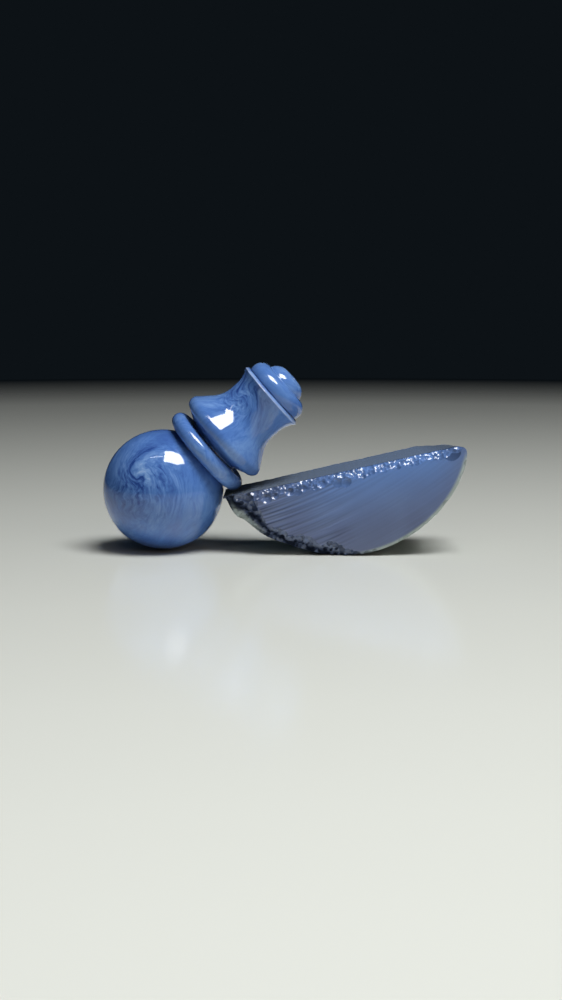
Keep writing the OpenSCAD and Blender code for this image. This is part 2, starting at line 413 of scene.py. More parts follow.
def streaks(tree, run):
    """Streaks of the poured resin, drawn out along their way, their strength, and the clouds between."""
    local, away, curled = curl(tree, run)
    flow = curled
    for waves, push, detail in SWIRLS:
        swirl = grain(tree, curled, waves, detail, output="Color")
        aside = vector_maths(tree, "SUBTRACT", swirl, (0.5, 0.5, 0.5))
        flow = vector_maths(tree, "ADD", flow, scale(tree, aside, push))
    drawn = add(tree, "ShaderNodeMapping", {"Vector": flow, "Scale": (STREAK_DRAW, 1, 1)}).outputs["Vector"]
    fine, broad = (grain(tree, drawn, waves, detail, STREAK_ROUGHNESS) for waves, detail in STREAK_WAVES)
    fibres = add(tree, "ShaderNodeMix", {"Factor": BROAD_SHARE, 2: fine, 3: broad}).outputs[0]
    clouds = clouds_in(tree, curled)
    patch = remap(tree, clouds, *CALM)
    square = maths(tree, "POWER", maths(tree, "MULTIPLY", away, 1 / run.reach), 2.0)
    knot = maths(tree, "EXPONENT", maths(tree, "MULTIPLY", square, -KNOT_FADE))
    behind = add(tree, "ShaderNodeSeparateXYZ", {0: local}).outputs["Y"]
    rear = remap(tree, behind, *REAR)
    calm = maths(tree, "ADD", patch, rear)
    strength = maths(tree, "MULTIPLY_ADD", knot, run.contrast, calm)
    return fibres, strength, clouds


def marbled_resin(name, colours, run):
    """Cast resin, poured in two blues, turned and polished.

    The eye sees fine dark and milky streaks that curl round one spot, under a clear wet-looking gloss.
    """
    material, tree = new_material(name)
    fibres, strength, clouds = streaks(tree, run)
    shown = maths(tree, "MULTIPLY", maths(tree, "SUBTRACT", fibres, 0.5), strength)
    cloud = remap(tree, clouds, LEVEL_CLOUDS, [level + run.lift for level in LEVELS])
    level = maths(tree, "MULTIPLY_ADD", shown, STREAK_GAIN, cloud)
    colour = ramp(tree, level, (
        (0.26, colours.deep), (0.5, colours.middle), (0.8, colours.light), (1.0, colours.milk)
    ))
    # Painted light on the finial's rim: a paler colour for the light showing through and the highlight along
    # the edge
    pale = maths(tree, "MULTIPLY", stored(tree, "thin"), RIM_LIGHT_SHARE)
    rim_lit = mix(tree, pale, colour, opaque(colours.pale))
    return coat(material, {
        "Base Color": rim_lit, "Roughness": POLISHED, "IOR": RESIN_IOR, "Normal": uneven(tree, *RIPPLE)
    })


def sawn_resin(name, colours):
    """The same resin as the saw left it.

    The eye sees a dull grey-blue face with curved saw lines, a bluer glow where light comes through from
    the top, glassy chips along the edges, painted shade along the broken edges and at the left tip, and a
    pale skin on the cast side.
    """
    material, tree = new_material(name)
    _, _, curled = curl(tree, OFFCUT_STREAKS)
    chip, rind, tone, glow = (stored(tree, key) for key in MARKS)
    body = ramp(tree, clouds_in(tree, curled), ((0.34, colours.sawn), (0.70, colours.sawn_light)))
    broken = mix(tree, maths(tree, "MULTIPLY", chip, GLASSY_SHARE), body, opaque(colours.chip))
    lit = mix(tree, glow, broken, opaque(colours.sawn_blue))
    skinned = mix(tree, rind, lit, opaque(colours.rind))
    # The tone marks multiply the colour: saw lines, painted shade and painted highlight
    level = maths(tree, "MULTIPLY_ADD", tone, TONE_GAIN, 1.0)
    marked = mix(tree, 1.0, skinned, level, blend_type="MULTIPLY")
    return coat(material, {
        "Base Color": marked, "Roughness": remap(tree, chip, (0.0, 1.0), (SAWN, POLISHED)), "IOR": RESIN_IOR,
        "Specular IOR Level": remap(tree, tone, DULL_TONES, (0.0, 0.5)), "Normal": uneven(tree, *PORES),
    })


def drawn_brass(name, colours):
    """Drawn brass tube. The eye sees warm metal with fine lines along the draw."""
    material, tree = new_material(name)
    along = add(tree, "ShaderNodeMapping", {
        "Vector": object_place(tree), "Rotation": (0, -lean_angle, 0), "Scale": Vector(BRASS_WAVES) / MM
    }).outputs["Vector"]
    lines = grain(tree, along, 1.0, 2.0)
    return coat(material, {
        "Base Color": opaque(colours.brass), "Metallic": 1.0,
        "Roughness": remap(tree, lines, (0.0, 1.0), BRASS_ROUGHNESS),
    })


def table_top(name, colours, radius):
    """Pale lacquered table. The eye sees a soft mirror image at a low angle, and a far edge that fades."""
    material, tree = new_material(name)
    start, end = TABLE_FADE
    edge = remap(tree, distance(tree, object_place(tree)), (start * radius, end * radius), (0.0, 1.0))
    colour = ramp(tree, edge, ((0.0, colours.floor), (1.0, colours.dark)))
    return coat(material, {"Base Color": colour, "Roughness": 0.14, "Specular IOR Level": 0.16})


# Steps of the arcs in the turned sections
BEAD_STEPS = 96
SEAT_STEPS = 16
COLLAR_STEPS = 28
LIP_STEPS = 26
COVE_STEPS = 30
NECK_STEPS = 28
BULGE_STEPS = 30
CROWN_STEPS = 18

# Points of a turned section that lie closer than this are one, in millimetres
WELD = 0.0005

# Edges that turn by more than this are worn round by polishing, or show as edges
WORN_ABOVE = math.radians(24)
SHARP_ABOVE = math.radians(40)

# Share of the rim's bevel that gets painted light: light showing through the thin resin and the highlight
# along its edge
LIT_RIM_SHARE = 0.4


class Pen:
    """Draws a half section by radius and height along the axis in millimetres, and turns it."""

    def __init__(self, r, s):
        self.bm = bmesh.new()
        self.start = self.end = self.bm.verts.new((r, 0, s))

    def line(self, r, s):
        """Draws on to a point."""
        self.end = bmesh.ops.extrude_vert_indiv(self.bm, verts=[self.end])["verts"][0]
        self.end.co = (r, 0, s)

    def arc(self, r, s, degrees, steps):
        """Draws on round a centre, anticlockwise where the angle is positive."""
        made = bmesh.ops.spin(
            self.bm, geom=[self.end], cent=(r, 0, s), axis=(0, -1, 0),
            angle=math.radians(degrees), steps=steps,
        )
        self.end = next(part for part in made["geom_last"] if isinstance(part, bmesh.types.BMVert))

    def turned(self, steps, edge):
        """Closes the section, spins it into a solid, and rounds its sharp edges as polishing does."""
        self.line(*self.start.co.xz)
        bm = self.bm
        bmesh.ops.spin(
            bm, geom=bm.verts[:] + bm.edges[:], cent=(0, 0, 0), axis=(0, 0, 1),
            angle=2 * math.pi, steps=steps, use_merge=True,
        )
        bmesh.ops.remove_doubles(bm, verts=bm.verts[:], dist=WELD)
        bmesh.ops.recalc_face_normals(bm, faces=bm.faces[:])
        sharp = [e for e in bm.edges if e.is_manifold and e.calc_face_angle() > WORN_ABOVE]
        bmesh.ops.bevel(
            bm, geom=sharp, offset=edge, offset_type="OFFSET", affect="EDGES", segments=3, profile=0.5,
            material=-1, clamp_overlap=True,
        )
        return bm


def put(name, data):
    """Puts an object into the scene."""
    made = bpy.data.objects.new(name, data)
    bpy.context.scene.collection.objects.link(made)
    return made


def put_mesh(bm, name, material):
    """Puts a mesh into the scene as an object."""
    mesh = bpy.data.meshes.new(name)
    bm.to_mesh(mesh)
    bm.free()
    mesh.materials.append(material)
    return put(name, mesh)


def finish_piece(bm, name, place, material, body, node):
    """Makes an object of a piece modelled in millimetres, in its place, on its body."""
    bmesh.ops.transform(bm, matrix=place, verts=bm.verts[:])
    piece = put_mesh(bm, name, material)
    mesh = piece.data
    mesh.polygons.foreach_set("use_smooth", [True] * len(mesh.polygons))
    mesh.set_sharp_from_angle(angle=SHARP_ABOVE)
    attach(piece, body)
    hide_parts(node)


def in_mm(group):
    """The lengths of a property group in millimetres, by name, with its other values as they are."""
    values = {}
    for key in group.__annotations__:
        value = getattr(group, key)
        values[key] = value / MM if group.bl_rna.properties[key].unit == "LENGTH" else value
    return SimpleNamespace(**values)


def tangent_angle(start, centre, r):
    """Direction in degrees of the line from start that passes a circle on its right side."""
    dx, dz = centre[0] - start[0], centre[1] - start[1]
    return math.degrees(math.atan2(dz, dx) - math.asin(r / math.hypot(dx, dz)))


class BEADSET_OT_bead(bpy.types.Operator):
    """Turn the round bead"""

    bl_idname = "bead_set.bead"
    bl_label = "Bead"

    def execute(self, context):
        t = in_mm(context.scene.bead_set_turning)
        low = math.degrees(math.acos(t.string_r / bead_r))
        high = math.degrees(math.acos(t.bore_r / bead_r))
        pen = Pen(t.string_r, -math.sqrt(bead_r ** 2 - t.string_r ** 2))
        pen.arc(0, 0, low + high, BEAD_STEPS)
        pen.line(t.bore_r, t.tube_seat)
        pen.line(t.string_r, t.tube_seat)
        bm = pen.turned(t.steps, t.edge)
        resin = marbled_resin("Polished Resin Bead", context.scene.bead_set_colours, BEAD_STREAKS)
        finish_piece(bm, "marbled_bead", stack_place, resin, "bead", "bead")
        return {"FINISHED"}


class BEADSET_OT_collar(bpy.types.Operator):
    """Turn the dished collar"""

    bl_idname = "bead_set.collar"
    bl_label = "Collar"

    def execute(self, context):
        t = in_mm(context.scene.bead_set_turning)
        seat_r = bead_r + t.seat_gap
        half = (collar_top - collar_low) / 2
        ring = collar_r - half
        rim = math.sqrt(seat_r ** 2 - collar_low ** 2)
        bore_angle = math.degrees(math.asin(t.bore_r / seat_r))
        rim_angle = math.degrees(math.asin(rim / seat_r))
        pen = Pen(t.bore_r, math.sqrt(seat_r ** 2 - t.bore_r ** 2))
        pen.arc(0, 0, bore_angle - rim_angle, SEAT_STEPS)
        pen.line(ring, collar_low)
        pen.arc(ring, collar_low + half, 180, COLLAR_STEPS)
        pen.line(t.bore_r, collar_top)
        bm = pen.turned(t.steps, t.edge)
        resin = marbled_resin("Polished Resin Collar", context.scene.bead_set_colours, COLLAR_STREAKS)
        finish_piece(bm, "dished_collar", stack_place, resin, "collar", "collar")
        return {"FINISHED"}


class BEADSET_OT_finial(bpy.types.Operator):
    """Turn the waisted finial"""

    bl_idname = "bead_set.finial"
    bl_label = "Finial"

    def execute(self, context):
        t = in_mm(context.scene.bead_set_turning)
        cove_x = t.waist_r + t.cove_r
        neck_x = t.waist_r + t.neck_r
        rim_edge = rim_s - t.rim_bevel_h
        neck_top = rim_edge - t.rim_wall
        waist_s = neck_top - math.sqrt(t.neck_r ** 2 - (neck_x - t.rim_r) ** 2)
        cove_s = waist_s - t.neck_h
        lip_x = lip_r - t.lip_round
        tilt = t.flare_tilt
        flare_out = Vector((math.cos(tilt), math.sin(tilt)))
        cove_touch = Vector((cove_x, cove_s)) - t.cove_r * flare_out
        lip_touch_r = lip_x + t.lip_round * flare_out.x
        lip_touch_s = cove_touch.y - (lip_touch_r - cove_touch.x) / math.tan(tilt)
        lip_s = lip_touch_s - t.lip_round * flare_out.y
        under = tangent_angle((t.foot_r, foot_s + t.foot_h), (lip_x, lip_s), t.lip_round)
        rim_angle = math.degrees(math.atan2(neck_top - waist_s, neck_x - t.rim_r))
        pen = Pen(t.bore_r, foot_s)
        pen.line(t.foot_r, foot_s)
        pen.line(t.foot_r, foot_s + t.foot_h)
        slope = math.radians(under)
        pen.line(lip_x + t.lip_round * math.sin(slope), lip_s - t.lip_round * math.cos(slope))
        pen.arc(lip_x, lip_s, 90 - under + math.degrees(tilt), LIP_STEPS)
        pen.line(*cove_touch)
        pen.arc(cove_x, cove_s, -math.degrees(tilt), COVE_STEPS)
        pen.line(t.waist_r, waist_s)
        pen.arc(neck_x, waist_s, -rim_angle, NECK_STEPS)
        pen.line(t.rim_r, rim_edge)
        pen.line(t.rim_r - t.rim_bevel_w, rim_s)
        pen.line(t.socket_r, rim_s)
        pen.line(t.socket_r, rim_s - t.socket_h)
        pen.line(t.bore_r, rim_s - t.socket_h)
        bm = pen.turned(t.steps, t.edge)
        # The rim's bevel, where the finish paints light
        thin = bm.verts.layers.float.new("thin")
        lit_rim_r = t.rim_r - LIT_RIM_SHARE * t.rim_bevel_w
        for vertex in bm.verts:
            vertex[thin] = float(vertex.co.xy.length > lit_rim_r and vertex.co.z > neck_top)
        resin = marbled_resin("Polished Resin Finial", context.scene.bead_set_colours, FINIAL_STREAKS)
        finish_piece(bm, "waisted_finial", stack_place, resin, "finial", "finial")
        return {"FINISHED"}


class BEADSET_OT_cap(bpy.types.Operator):
    """Turn the stepped cap"""

    bl_idname = "bead_set.cap"
    bl_label = "Cap"

    def execute(self, context):
        t = in_mm(context.scene.bead_set_turning)
        seat = spigot_s + t.spigot_h
        bulge_x, bulge_s = cap_r - t.cap_round, seat + t.ledge_h - t.cap_round
        below = math.degrees(math.asin((bulge_s - seat) / t.cap_round))
        ledge_r, ledge_s = bulge_x - t.ledge_w, seat + t.ledge_h
        dome_s = crown_s - t.crown_round
        dome = math.asin((ledge_s - dome_s) / t.crown_round)
        dome_x = ledge_r - t.crown_round * math.cos(dome)
        pen = Pen(t.bore_r, spigot_s)
        pen.line(t.spigot_r, spigot_s)
        pen.line(t.spigot_r, seat)
        pen.line(bulge_x + t.cap_round * math.cos(math.radians(below)), seat)
        pen.arc(bulge_x, bulge_s, 90 + below, BULGE_STEPS)
        pen.line(ledge_r, ledge_s)
        pen.arc(dome_x, dome_s, 90 - math.degrees(dome), CROWN_STEPS)
        pen.line(t.string_r, crown_s)
        pen.line(t.string_r, seat + t.pocket_h)
        pen.line(t.bore_r, seat + t.pocket_h)
        bm = pen.turned(t.steps, t.edge)
        resin = marbled_resin("Polished Resin Cap", context.scene.bead_set_colours, CAP_STREAKS)
        finish_piece(bm, "stepped_cap", stack_place, resin, "cap", "finial_cap")
        return {"FINISHED"}


class BEADSET_OT_core_tube(bpy.types.Operator):
    """Finish the hidden tube in drawn brass"""

    bl_idname = "bead_set.core_tube"
    bl_label = "Core Tube"

    def execute(self, context):
        tube = frame["nodes"]["core_tube"]
        tube.data.materials.clear()
        tube.data.materials.append(drawn_brass("Drawn Brass Tube", context.scene.bead_set_colours))
        return {"FINISHED"}


class Break(NamedTuple):
    """A broken band along an edge of the offcut."""

    # Depth that the band gains for each millimetre towards the edge
    slope: float
    # How many hollows cover it on the front face and on the back face
    front: int
    back: int
    # Least and largest radius of a hollow in millimetres, and depth as a share of that radius
    widths: tuple
    dips: tuple
    # Painted shade: how much darker or lighter the band's colour gets towards the edge, for the shade on its
    # broken facets
    painted_shade: float


# The cast skin below the left tip, in millimetres: how far it and its flake stand out, and the flake's place
# and half width
SKIN_OUT = 0.45
FLAKE_OUT = 0.55
FLAKE_AT = 1.9
FLAKE_HALF = 0.9

# Share of that swell that counts where the depth inside the curved edge is measured
SKIN_COUNTS = 0.75

# Millimetres from the left tip to the end of the collar's rest, where the top starts to rise more
REST_END = 6

# The sawn faces' grids, in millimetres: how far they are set to the left, their least heights at the left
# and right ends, and how far before the right end the top's back edge starts to level out
FACE_MARGIN = 0.2
LEFT_LEAST = 0.3
RIGHT_LEAST = 0.2
LEVEL_START = 6.3

# How much closer the grids' rows lie at the edges
CROWDING = 0.35

# Waviness of the lower edge, the top edge, the two broken bands and the darker line: height and pitch in
# millimetres, and row of the noise
LOWER_WAVE = (0.06, 0.7, 1)
TOP_WAVE = (0.05, 0.8, 2)
TOP_REACH_WAVE = (0.8, 2.4, 3)
LOWER_REACH_WAVE = (1.4, 3.0, 4)
DARK_LINE_WAVE = (0.5, 0.9, 6)

# Steps between the noise's rows, along its second and third axes
ROW_STEP = (0.37, 1.7)

# The saw blade's axle, in millimetres from the left tip along the frame's X and Z
SAW_AXLE = (-17.2, 72.5)

# Broad and fine saw marks: strength, waves in each pitch, waves per millimetre along, and row of the noise
SAW_MARKS = ((0.5, 1.5, 0.05, 3.0), (1.3, 3.1, 0.11, 5.0))

# Patches of weaker and stronger marks: mean, range, waves per millimetre along and up, and row of the noise
SAW_PATCHES = (0.95, 0.9, 0.13, 0.25, 8.0)

# Strength of the saw marks on the right, what they gain on the left, and how strongly they paint the shading
# of their grooves on the face as light and dark lines
SAW_RIGHT = 0.2
SAW_GAIN = 1.2
SAW_PAINTED_SHADING = 0.62

# How much darker the whole face is, and what its left part adds to that
FACE_DULL = 0.15
LEFT_DULL = 0.4

# Seeds of the chips on the front and back faces
FRONT_SEED = 17
BACK_SEED = 23

# The broken bands, whose colour carries painted shade, and how far they reach into the face in millimetres
LOWER_BREAK = Break(slope=0.38, front=1100, back=200, widths=(0.2, 0.6), dips=(0.2, 0.85), painted_shade=-1.4)
TOP_BREAK = Break(slope=0.6, front=1400, back=200, widths=(0.15, 0.48), dips=(0.16, 0.46), painted_shade=-0.2)
LOWER_REACH = 2.2
TIP_REACH = 2.6
TOP_REACH = 1.15
LEAST_REACH = 0.01

# Inside a broken band: the curve of its slope, the step at its start, and the share where hollows start
BAND_CURVE = 1.3
BAND_STEP = 0.05
HOLLOWS_FROM = 0.1

# How the tone of a hollow follows its band's painted shade, and the least and largest tone added to that
HOLLOW_SHADE = 1.2
HOLLOW_TONES = (-0.6, 0.5)

# The scoop at the right corner, painted dark as the shade in it, glinting hollows along the top's left half,
# lightened as painted highlight over their glints, and darker ones under them, painted as shade. In
# millimetres:
# place from the left tip, or from the right end where negative, then depth below the top, radius and depth of
# the hollow. The last value is its tone
HOLLOWS = (
    (-2.2, 0.6, 1.55, 0.3, -0.8),
    (6.9, 1.3, 0.95, 0.52, 0.5),
    (8.2, 1.2, 0.7, 0.4, 0.4),
    (10.7, 1.1, 0.8, 0.45, 0.4),
    (12.8, 1.0, 0.75, 0.42, 0.4),
    (15.8, 1.0, 0.8, 0.44, 0.4),
    (12.0, 1.3, 0.8, 0.3, -0.3),
    (14.6, 1.2, 0.7, 0.3, -0.3),
    (18.4, 1.3, 0.95, 0.3, -0.3),
    (19.7, 1.5, 1.0, 0.3, -0.3),
)

# A darker line along the lower left edge, in millimetres: its depth inside the skin, how much less that is
# towards the heel, and its half width. Then its darkness, the left tip's painted shadow, and the darkest tone
# of all
DARK_LINE_IN = 1.5
DARK_LINE_RISE = 1.0
DARK_LINE_HALF = 0.45
DARK_LINE_STRENGTH = 1.1
TIP_PAINTED_SHADOW = 1.2
DARKEST = -1.6

# How much of the skin shows, how much of the tone it covers, and how much less a chip glows
RIND_SHOWS = 0.9
RIND_COVERS = 0.7
CHIP_DIMS = 0.35

# How much a place's depth in the skin counts at the flake and at the right rim: less of it shows more skin
FLAKE_DEPTH = 0.8
RIM_DEPTH = 1.4

# How far down the inner light reaches in millimetres, and how it falls off
GLOW_DEPTH = 6.5
GLOW_CURVE = 1.5

# The top and the curved side: cuts across, and in millimetres the least length of an edge across and the
# depth that counts as top. Then the strength of chips, of skin on top and below, of tone and of inner light
SIDE_CUTS = 11
ACROSS_LEAST = 4
TOP_STRIP = 1.5
SIDE_CHIP = 0.8
TOP_RIND = 0.35
CAST_RIND = 0.8
SIDE_TONE = 0.1
SIDE_GLOW = 0.5

# Spans over which things come in, from none to full, in millimetres from the left tip
SKIN_STARTS = (0, 1.2)
SKIN_ENDS = (11, 6)
FLAKE_STARTS = (0.6, 1.8)
FLAKE_ENDS = (7.5, 4.5)
FLAKE_THINS = (2, 5)
LEFT_DULLS = (10, 4)
TIP_BREAKS = (7, 2)
# The painted shadow on the left tip, where the bead and the collar crowd it
TIP_SHADOW_SPAN = (2.2, 0.8)
# The darker line along the lower left edge
DARK_LINE_RISES = (6, 11)

# The same, in millimetres past the heel
SAW_STARTS = (3, -6)
LOWER_BREAKS = (3, -3)
LEFT_ROUGHENS = (0, -4)
RIM_STARTS = (0, 6)

# The same, in millimetres from the right end, below the top, and in from the curved edge
TOP_BREAKS = (-0.3, 2.1)
RIM_CLEARS_TOP = (0.8, 2.8)
CAST_STARTS = (2 / 3, 1 / 3)

# The same, in skin thicknesses, in shares of the offcut's length, and in shares of a broken band
RIND_STARTS = (1.5, 0.5)
GLOW_STARTS = (0.03, 0.62)
GLOW_ENDS = (1.1, 0.85)
STEP_STARTS = (0, 1 / 8)
GLASS_STARTS = (0, 1 / 3)


class BEADSET_OT_offcut(bpy.types.Operator):
    """Saw and chip the half-round offcut"""

    bl_idname = "bead_set.offcut"
    bl_label = "Offcut"

    def execute(self, context):
        t = in_mm(context.scene.bead_set_offcut)
        bm = bmesh.new()
        layers = [bm.verts.layers.float.new(key) for key in MARKS]
        front, back = saw_faces(bm, t)
        break_face(front, layers, t, True)
        break_face(back, layers, t, False)
        close_sides(bm, layers, t, set(front) | set(back))
        resin = sawn_resin("Sawn Resin Offcut", context.scene.bead_set_colours)
        finish_piece(bm, "sawn_offcut", frame_place, resin, "offcut", "offcut")
        return {"FINISHED"}


def fade(values, span):
    """Eases from 0 at a span's first end to 1 at its second, and holds these outside."""
    share = np.clip((values - span[0]) / (span[1] - span[0]), 0, 1)
    return share * share * (3 - 2 * share)


def mound(values, middle, half):
    """Rises to 1 at the middle, and falls off over a half width."""
    return np.exp(-((values - middle) / half) ** 2)


def wander(values, wave):
    """Waviness at places along a line."""
    height, pitch, row = wave
    return height * np.array([noise.noise((value / pitch, *Vector(ROW_STEP) * row)) for value in values])


def heel_x(t):
    """Where the offcut rests, found from its left tip and the curve that leads down from it."""
    return offcut_tip.x + math.sqrt(t.left_r ** 2 - (t.left_r - offcut_tip.z) ** 2)


def swell(x):
    """How far the cast skin stands out below the left tip, thickest where a flake of it still hangs on."""
    along = x - offcut_tip.x
    skin = SKIN_OUT * fade(along, SKIN_STARTS) * fade(along, SKIN_ENDS)
    return skin + FLAKE_OUT * mound(along, FLAKE_AT, FLAKE_HALF)


def bulge(t):
    """Shares by which the right half is drawn in at the heel, and gains on each millimetre from there."""
    return 1 - t.right_draw, (t.right_draw + t.right_swell) / (offcut_high.x - heel_x(t))


def straighten(t, past):
    """Distance past the heel on the plain curve, for a distance on the bulged one."""
    start, gain = bulge(t)
    return (np.sqrt(start ** 2 + 4 * gain * np.maximum(past, 0)) - start) / (2 * gain)


def skin_depth(t, x, z):
    """How far points of the offcut lie inside its curved edge."""
    past = x - heel_x(t)
    run = np.where(past < 0, past, straighten(t, past))
    r = np.where(past < 0, t.left_r, t.right_r)
    return np.maximum(r - np.hypot(run, z - r) + SKIN_COUNTS * swell(x), 0)


def top_height(t, x):
    """Height of the offcut's flat top."""
    along = x - offcut_tip.x
    return offcut_tip.z + math.tan(t.top_tilt) * along + t.top_rise * np.maximum(along - REST_END, 0)


def saw_faces(bm, t):
    """Two grids on the offcut's sawn outline, front and back, as lists of vertices."""
    front = bmesh.ops.create_grid(bm, x_segments=t.columns, y_segments=t.rows, size=0.5)["verts"]
    copy = bmesh.ops.duplicate(bm, geom=bm.faces[:])
    back = [part for part in copy["geom"] if isinstance(part, bmesh.types.BMVert)]
    left, right, heel = offcut_tip.x - FACE_MARGIN, offcut_high.x - FACE_MARGIN, heel_x(t)
    across = np.array([vertex.co.x + 0.5 for vertex in front])
    share = np.array([vertex.co.y + 0.5 for vertex in front])
    share = share - CROWDING * np.sin(2 * math.pi * share) / (2 * math.pi)
    run = left + across * (right - left)
    r = np.where(run < heel, t.left_r, t.right_r)
    bottom = r - np.sqrt(np.maximum(r ** 2 - (run - heel) ** 2, 0)) - swell(run)
    bottom = np.minimum(bottom, top_height(t, run) - LEFT_LEAST)
    bottom += wander(run, LOWER_WAVE) * fade(run - heel, LEFT_ROUGHENS)
    start, gain = bulge(t)
    x = np.where(run < heel, run, heel + (run - heel) * (start + gain * (run - heel)))
    short = np.maximum(run - right + t.blunt, 0)
    top = top_height(t, x) + wander(x, TOP_WAVE)
    top = np.maximum(top - t.blunt + np.sqrt(t.blunt ** 2 - short ** 2), bottom + RIGHT_LEAST)
    level = math.tan(t.top_tilt) * np.maximum(run - right + LEVEL_START, 0)
    for vertices, height in ((front, top), (back, top - level)):
        z = bottom + share * (height - bottom)
        for i, vertex in enumerate(vertices):
            vertex.co = (x[i], 0, z[i])
    return front, back


def saw_marks(t, x, z):
    """The saw's marks on a face: arcs round the blade's axle, strongest left of the heel."""
    ring = np.hypot(x - offcut_tip.x - SAW_AXLE[0], z - offcut_tip.z - SAW_AXLE[1]) / t.saw_pitch
    mean, spread, waves_x, waves_z, row = SAW_PATCHES
    marks = np.zeros(len(x))
    for strength, across, along, mark_row in SAW_MARKS:
        lines = [noise.noise((across * r, along * a, mark_row)) for r, a in zip(ring, x)]
        marks += strength * np.array(lines)
    patches = np.array([noise.noise((waves_x * a, waves_z * b, row)) for a, b in zip(x, z)])
    return marks * (mean + spread * patches) * (SAW_RIGHT + SAW_GAIN * fade(x - heel_x(t), SAW_STARTS))


def dish(face, x, z, base, centre, width, dip, tone):
    """Breaks a shell-shaped hollow out of a face, where it goes deeper than the face already does."""
    r = (width ** 2 + dip ** 2) / (2 * dip)
    spread = (x - x[centre]) ** 2 + (z - z[centre]) ** 2
    near = np.flatnonzero(spread < width ** 2)
    hollow = base[near] + dip - r + np.sqrt(r * r - spread[near])
    deeper = hollow > face.depth[near]
    face.depth[near[deeper]] = hollow[deeper]
    face.chip[near[deeper]] = 1
    face.tone[near[deeper]] = tone


def break_edge(face, x, z, inner, reach, kind, is_front, rng):
    """Breaks a band along an edge down to a slope with painted shade, and covers it with overlapping hollows.
    """
    band = np.clip(1 - inner / np.maximum(reach, LEAST_REACH), 0, 1)
    base = reach * (kind.slope * band ** BAND_CURVE + BAND_STEP * fade(band, STEP_STARTS))
    base = np.maximum(face.depth, base)
    face.depth = base.copy()
    face.chip = np.maximum(face.chip, fade(band, GLASS_STARTS))
    # Painted shade: the band's colour darkens towards the edge
    face.tone += kind.painted_shade * band
    spots = np.flatnonzero(band > HOLLOWS_FROM)
    darkest, lightest = HOLLOW_TONES
    for _ in range(kind.front if is_front else kind.back):
        spot = spots[rng.randrange(len(spots))]
        width = rng.uniform(*kind.widths)
        dip = rng.uniform(*kind.dips) * width
        tone = rng.uniform(HOLLOW_SHADE * kind.painted_shade * band[spot] + darkest, lightest)
        dish(face, x, z, base, spot, width, dip, tone)


def break_face(vertices, layers, t, is_front):
    """Sets a sawn face at its plane with its saw marks, rounded edge and chips."""
    plane, inward = (offcut_low.y, 1) if is_front else (offcut_high.y, -1)
    x = np.array([vertex.co.x for vertex in vertices])
    z = np.array([vertex.co.z for vertex in vertices])
    past, from_left, from_right = x - heel_x(t), x - offcut_tip.x, offcut_high.x - x
    skin = skin_depth(t, x, z)
    below = np.maximum(top_height(t, x) - z, 0) * math.cos(t.top_tilt)
    saw = saw_marks(t, x, z)
    short = np.maximum(t.edge_round - skin, 0)
    edge = t.edge_round - np.sqrt(t.edge_round ** 2 - short ** 2)
    # The saw marks cut real grooves, and their tone paints the grooves' shading as light and dark lines
    face = SimpleNamespace(depth=edge + t.saw_depth * (1 + saw), chip=np.zeros(len(x)), tone=SAW_PAINTED_SHADING * saw)
    face.tone -= FACE_DULL + LEFT_DULL * fade(from_left, LEFT_DULLS)
    rng = random.Random(FRONT_SEED if is_front else BACK_SEED)
    reach = (LOWER_REACH + wander(x, LOWER_REACH_WAVE)) * fade(past, LOWER_BREAKS)
    reach += TIP_REACH * fade(from_left, TIP_BREAKS)
    break_edge(face, x, z, skin, reach, LOWER_BREAK, is_front, rng)
    # The listed hollows, with their painted shade and painted highlight
    for along, under, width, dip, tone in HOLLOWS if is_front else ():
        aside = from_left - along if along > 0 else from_right + along
        spot = np.argmin(np.abs(aside) + np.abs(below - under))
        dish(face, x, z, edge, spot, width, dip, tone)
    reach = (TOP_REACH + wander(x, TOP_REACH_WAVE)) * fade(from_right, TOP_BREAKS)
    break_edge(face, x, z, below, reach, TOP_BREAK, is_front, rng)
    # A darker line along the lower left edge, drawn in colour only
    dark_line = DARK_LINE_IN - DARK_LINE_RISE * fade(from_left, DARK_LINE_RISES) + wander(x, DARK_LINE_WAVE)
    face.tone -= DARK_LINE_STRENGTH * mound(skin, dark_line, DARK_LINE_HALF) * fade(past, LEFT_ROUGHENS)
    # Painted shadow on the left tip, where the bead and the collar crowd it
    face.tone -= TIP_PAINTED_SHADOW * fade(from_left, TIP_SHADOW_SPAN)
    face.tone = np.maximum(face.tone, DARKEST)
    rind = rind_share(t, x, z)
    glow = glow_share(t, x, z) * (1 - CHIP_DIMS * face.chip)
    for i, vertex in enumerate(vertices):
        vertex.co.y = plane + inward * face.depth[i]
    store_marks(vertices, layers, (face.chip, rind, face.tone * (1 - RIND_COVERS * rind), glow))


def store_marks(vertices, layers, marks):
    """Stores what the finish reads on the mesh."""
    for i, vertex in enumerate(vertices):
        for layer, values in zip(layers, marks):
            vertex[layer] = values[i]


def rind_share(t, x, z):
    """How much of the cast skin shows on a sawn face: a flake at the left tip, and a rim on the right."""
    depth = skin_depth(t, x, z) / t.rind
    along = x - offcut_tip.x
    counts = FLAKE_DEPTH + (1 - FLAKE_DEPTH) * fade(along, FLAKE_THINS)
    flake = fade(along, FLAKE_ENDS) * fade(along, FLAKE_STARTS) * fade(counts * depth, RIND_STARTS)
    rim = fade(x - heel_x(t), RIM_STARTS) * fade(RIM_DEPTH * depth, RIND_STARTS)
    rim *= fade(top_height(t, x) - z, RIM_CLEARS_TOP)
    return RIND_SHOWS * np.maximum(flake, rim)


def glow_share(t, x, z):
    """How much light shows through under the top edge, mostly right of the middle."""
    below = np.maximum(top_height(t, x) - z, 0)
    along = (x - offcut_low.x) / (offcut_high.x - offcut_low.x)
    return np.exp(-(below / GLOW_DEPTH) ** GLOW_CURVE) * fade(along, GLOW_STARTS) * fade(along, GLOW_ENDS)


